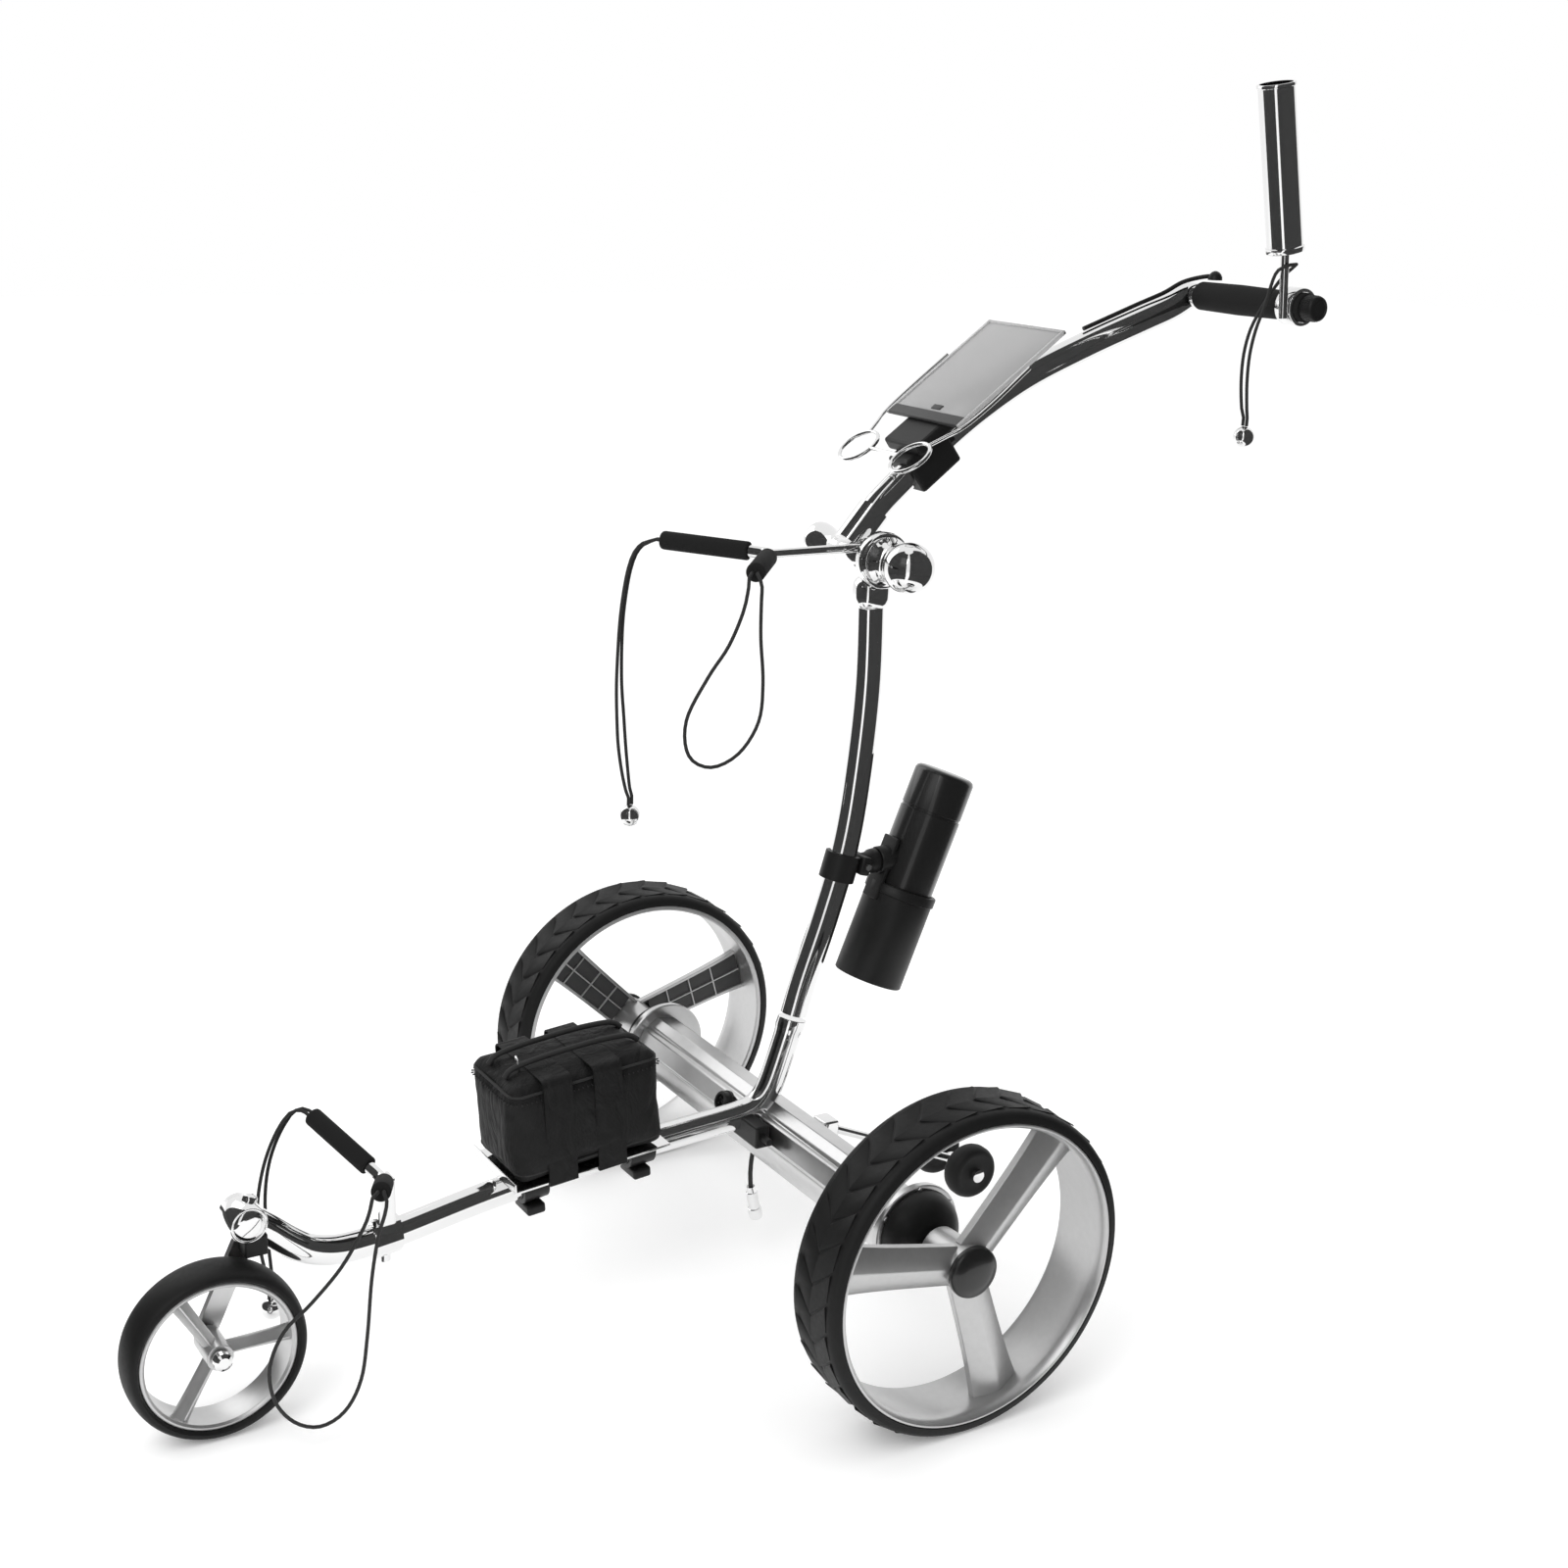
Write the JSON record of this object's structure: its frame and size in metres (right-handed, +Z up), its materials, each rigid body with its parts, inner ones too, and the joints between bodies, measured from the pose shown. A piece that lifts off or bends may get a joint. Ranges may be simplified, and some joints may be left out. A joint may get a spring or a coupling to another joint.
{
  "type": "golf trolley",
  "caption": "Three-wheeled electric golf trolley with curved steel frame, hub-driven rear wheels, battery bag, bag cradles with elastic cords, folding handle and accessory holders",
  "frame": {"origin": "on the ground, under the centre of the bounding box", "axes": "+Z up, front wheel towards -Y, handle towards +Y, left side +X"},
  "size_m": [0.661, 1.1138, 1.1325],
  "materials": {
    "chrome": "mirror polished",
    "satin_silver": "satin",
    "rim_silver": "satin silver paint",
    "tyre_rubber": "matt",
    "black_plastic": "matt",
    "gloss_black": "gloss",
    "foam_black": "matt foam",
    "nylon_black": "woven nylon",
    "cord_black": "braided cord",
    "clear_grey": "translucent"
  },
  "bodies": {
    "frame": {"main_bar": "chrome", "upright_tube": "chrome", "head_barrel": "chrome", "fork_crown": "black_plastic", "fork_leg": "satin_silver", "front_axle": "chrome", "axle_housing": "satin_silver", "charge_socket": "black_plastic", "saddle_block": "black_plastic", "gearbox_left": "black_plastic", "gearbox_right": "black_plastic", "battery_tray": "satin_silver", "battery_bag": "nylon_black", "strap_front": "nylon_black", "strap_rear": "nylon_black", "lower_bracket": "chrome", "lower_arms": "chrome", "lower_pad_left": "foam_black", "lower_pad_right": "foam_black", "lower_loop": "cord_black", "lower_strand_a": "cord_black", "lower_strand_b": "cord_black", "lower_cord_ball": "chrome", "fold_socket": "chrome", "fold_bolt": "chrome", "bottle_clamp": "black_plastic", "anti_tip_rod": "chrome", "cable": "cord_black", "cable_plug": "chrome"},
    "wheel_left": {"rear_rim_left": "rim_silver", "rear_tyre_left": "tyre_rubber", "hub_cap_left": "gloss_black"},
    "wheel_right": {"rear_rim_right": "rim_silver", "rear_tyre_right": "tyre_rubber", "hub_cap_right": "gloss_black"},
    "front_wheel": {"front_rim": "rim_silver", "front_tyre": "tyre_rubber"},
    "caster_left": {"anti_tip_wheel_left": "tyre_rubber"},
    "caster_right": {"anti_tip_wheel_right": "tyre_rubber"},
    "upper_support": {"upper_arms": "chrome", "upper_pad_left": "foam_black", "upper_pad_right": "foam_black", "upper_loop": "cord_black", "upper_strand_a": "cord_black", "upper_strand_b": "cord_black", "upper_cord_ball": "chrome"},
    "handle": {"handle_tube": "chrome", "fold_head": "chrome", "handle_strap": "cord_black", "grip": "foam_black", "card_clamp": "black_plastic", "card_rings": "chrome"},
    "knob": {"fold_knob": "chrome"},
    "umbrella": {"umbrella_holder": "chrome", "umbrella_cord": "cord_black", "umbrella_cord_ball": "chrome"},
    "card_lid": {"card_plate": "clear_grey"},
    "dial": {"speed_dial": "black_plastic"},
    "bottle_holder": {"bottle_cup": "black_plastic"},
    "flask": {"bottle": "gloss_black"}
  },
  "joints": [
    {"name": "wheel_left_spin", "type": "hinge", "parent": "frame", "child": "wheel_left", "pos_m": [0.298, 0.0841, 0.15], "axis": [1, 0, 0], "continuous": true},
    {"name": "wheel_right_spin", "type": "hinge", "parent": "frame", "child": "wheel_right", "pos_m": [-0.298, 0.0841, 0.15], "axis": [1, 0, 0], "continuous": true},
    {"name": "front_wheel_spin", "type": "hinge", "parent": "frame", "child": "front_wheel", "pos_m": [0.018, -0.4789, 0.078], "axis": [1, 0, 0], "continuous": true},
    {"name": "caster_left_spin", "type": "hinge", "parent": "frame", "child": "caster_left", "pos_m": [0.06, 0.2731, 0.087], "axis": [1, 0, 0], "continuous": true},
    {"name": "caster_right_spin", "type": "hinge", "parent": "frame", "child": "caster_right", "pos_m": [0, 0.2731, 0.087], "axis": [1, 0, 0], "continuous": true},
    {"name": "handle_fold", "type": "hinge", "parent": "frame", "child": "handle", "pos_m": [0, 0.1641, 0.703], "axis": [1, 0, 0], "range_deg": [-75, 60]},
    {"name": "upper_support_tilt", "type": "hinge", "parent": "frame", "child": "upper_support", "pos_m": [0, 0.1641, 0.703], "axis": [1, 0, 0], "range_deg": [-10, 30]},
    {"name": "knob_turn", "type": "hinge", "parent": "frame", "child": "knob", "pos_m": [0.059, 0.1641, 0.703], "axis": [1, 0, 0], "range_deg": [-90, 90]},
    {"name": "umbrella_swing", "type": "hinge", "parent": "handle", "child": "umbrella", "pos_m": [0.128, 0.5394, 0.9337], "axis": [1, 0, 0], "range_deg": [-90, 40]},
    {"name": "card_lid_lift", "type": "hinge", "parent": "handle", "child": "card_lid", "pos_m": [-0.022, 0.2261, 0.824], "axis": [1, 0, 0], "range_deg": [0, 100]},
    {"name": "dial_turn", "type": "hinge", "parent": "handle", "child": "dial", "pos_m": [0.147, 0.5394, 0.9337], "axis": [1, 0, 0], "range_deg": [-135, 135]},
    {"name": "bottle_swivel", "type": "hinge", "parent": "frame", "child": "bottle_holder", "pos_m": [0, 0.1841, 0.408], "axis": [0, 1, 0], "range_deg": [-40, 40]},
    {"name": "bottle_lift", "type": "slide", "parent": "bottle_holder", "child": "flask", "axis": [0, 0.3771, 0.9262], "range_m": [0, 0.12]}
  ]
}
